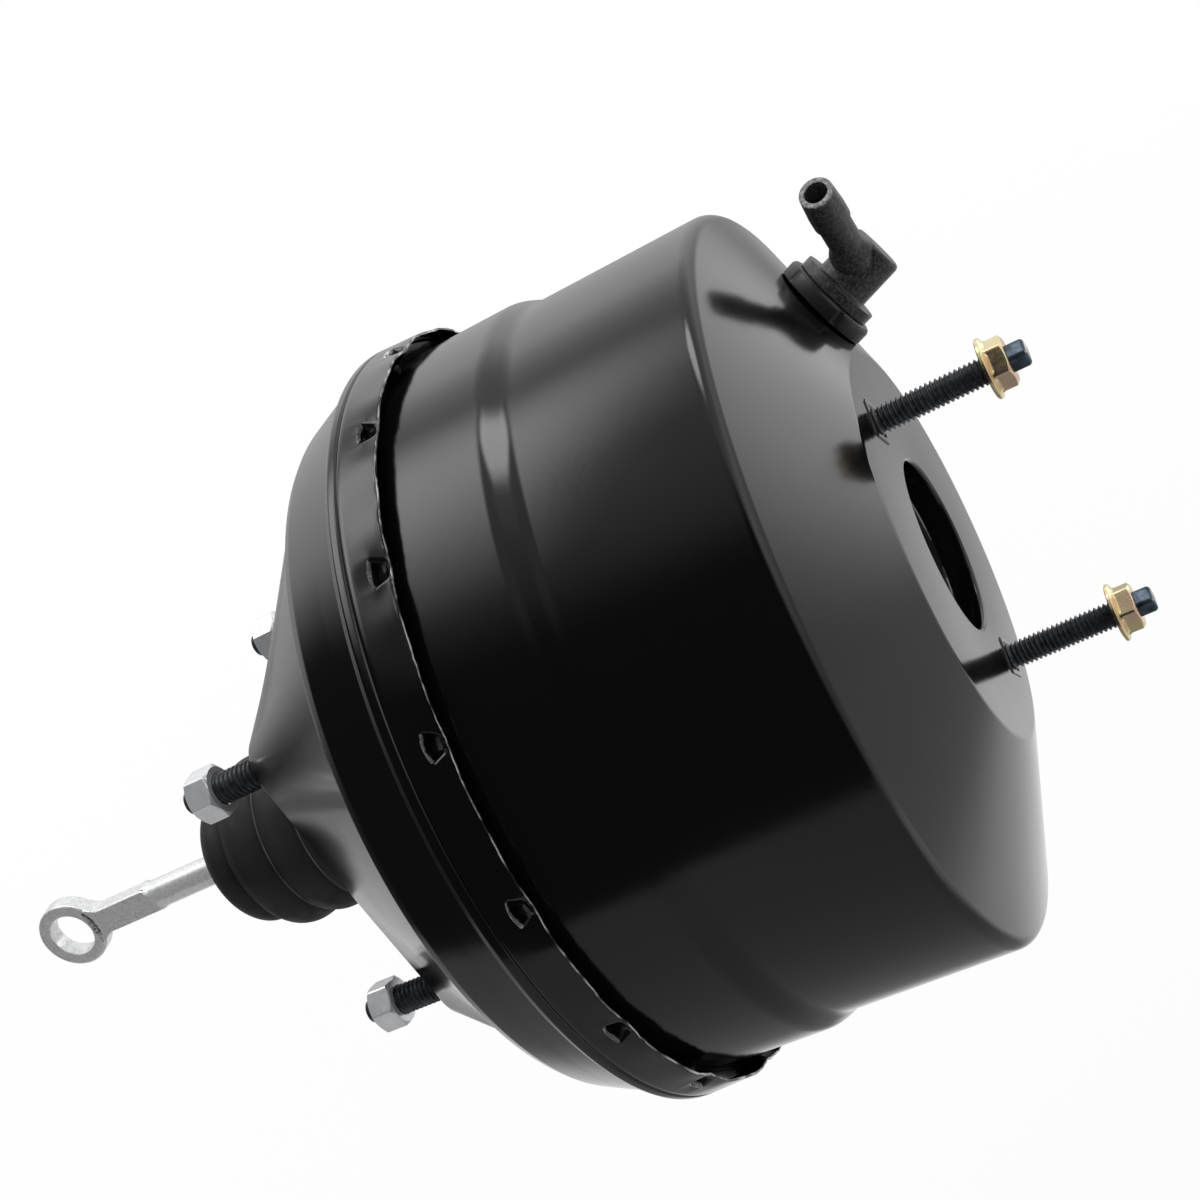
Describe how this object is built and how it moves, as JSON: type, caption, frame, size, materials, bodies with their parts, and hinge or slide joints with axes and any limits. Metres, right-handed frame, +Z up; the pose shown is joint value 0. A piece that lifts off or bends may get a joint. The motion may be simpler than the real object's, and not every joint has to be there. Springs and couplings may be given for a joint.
{
  "type": "vacuum brake booster",
  "caption": "Two-chamber vacuum brake booster: crimped steel drum with a dished rear, bellows boot, push rod with eye, elbow check valve and mounting studs.",
  "frame": {"origin": "centre of the four firewall studs on the rear shell's mounting face", "axes": "+X along the booster's axis to the master cylinder pad, +Z up along the line of the two master cylinder studs, +Y completes a right-handed frame"},
  "size_m": [0.3736, 0.239, 0.239],
  "materials": {
    "black_paint": "gloss",
    "raw_steel": "satin",
    "seal_rubber": "satin",
    "boot_rubber": "matt",
    "piston_plastic": "matt",
    "bearing_plastic": "matt",
    "zinc_steel": "satin",
    "filter_foam": "open foam",
    "black_oxide": "satin",
    "yellow_zinc": "satin",
    "valve_plastic": "satin"
  },
  "bodies": {
    "housing": {"front_shell": "black_paint", "rear_shell": "black_paint", "divider_plate": "raw_steel", "divider_seal": "seal_rubber", "primary_diaphragm": "seal_rubber", "secondary_diaphragm": "seal_rubber", "return_spring": "raw_steel", "rear_bearing": "bearing_plastic", "rear_seal": "seal_rubber", "front_seal": "seal_rubber", "boot": "boot_rubber", "firewall_studs": "black_oxide", "firewall_nuts": "zinc_steel", "master_cylinder_studs": "black_oxide", "master_cylinder_nuts": "yellow_zinc", "valve_grommet": "seal_rubber"},
    "power_piston": {"power_piston": "piston_plastic", "primary_plate": "raw_steel", "secondary_plate": "raw_steel", "poppet_valve": "seal_rubber", "poppet_retainer": "raw_steel", "poppet_spring": "raw_steel", "valve_return_spring": "raw_steel", "air_filter": "filter_foam", "reaction_disc": "seal_rubber", "output_pushrod": "zinc_steel", "pushrod_retainer": "raw_steel", "adjusting_screw": "zinc_steel"},
    "valve_plunger": {"air_valve_plunger": "zinc_steel", "plunger_clip": "raw_steel"},
    "input_rod": {"input_pushrod": "zinc_steel"},
    "check_valve": {"check_valve_body": "valve_plastic", "check_spring": "raw_steel"},
    "check_disc": {"check_disc": "seal_rubber"}
  },
  "joints": [
    {"name": "power_piston_slide", "type": "slide", "parent": "housing", "child": "power_piston", "axis": [1, 0, 0], "range_m": [0, 0.034], "stiffness_N_per_m": 2000, "springref_m": -0.08, "deforming": ["return_spring", "primary_diaphragm", "secondary_diaphragm", "boot"]},
    {"name": "valve_plunger_slide", "type": "slide", "parent": "power_piston", "child": "valve_plunger", "axis": [1, 0, 0], "range_m": [0, 0.0015], "stiffness_N_per_m": 2000, "springref_m": -0.008, "deforming": ["poppet_valve", "poppet_spring", "valve_return_spring", "boot"]},
    {"name": "input_rod_tilt", "type": "hinge", "parent": "valve_plunger", "child": "input_rod", "pos_m": [0.022, 0, 0], "axis": [0, 1, 0], "range_deg": [-3, 3], "stiffness_Nm_per_rad": 12, "deforming": ["boot", "valve_return_spring"]},
    {"name": "check_valve_swivel", "type": "hinge", "parent": "housing", "child": "check_valve", "pos_m": [0.18515, 0.04151, 0.06295], "axis": [0.9379, 0.191, 0.2896], "continuous": true},
    {"name": "check_disc_slide", "type": "slide", "parent": "check_valve", "child": "check_disc", "axis": [0.9379, 0.191, 0.2896], "range_m": [0, 0.002], "stiffness_N_per_m": 20, "springref_m": -0.004, "deforming": ["check_spring"]}
  ]
}
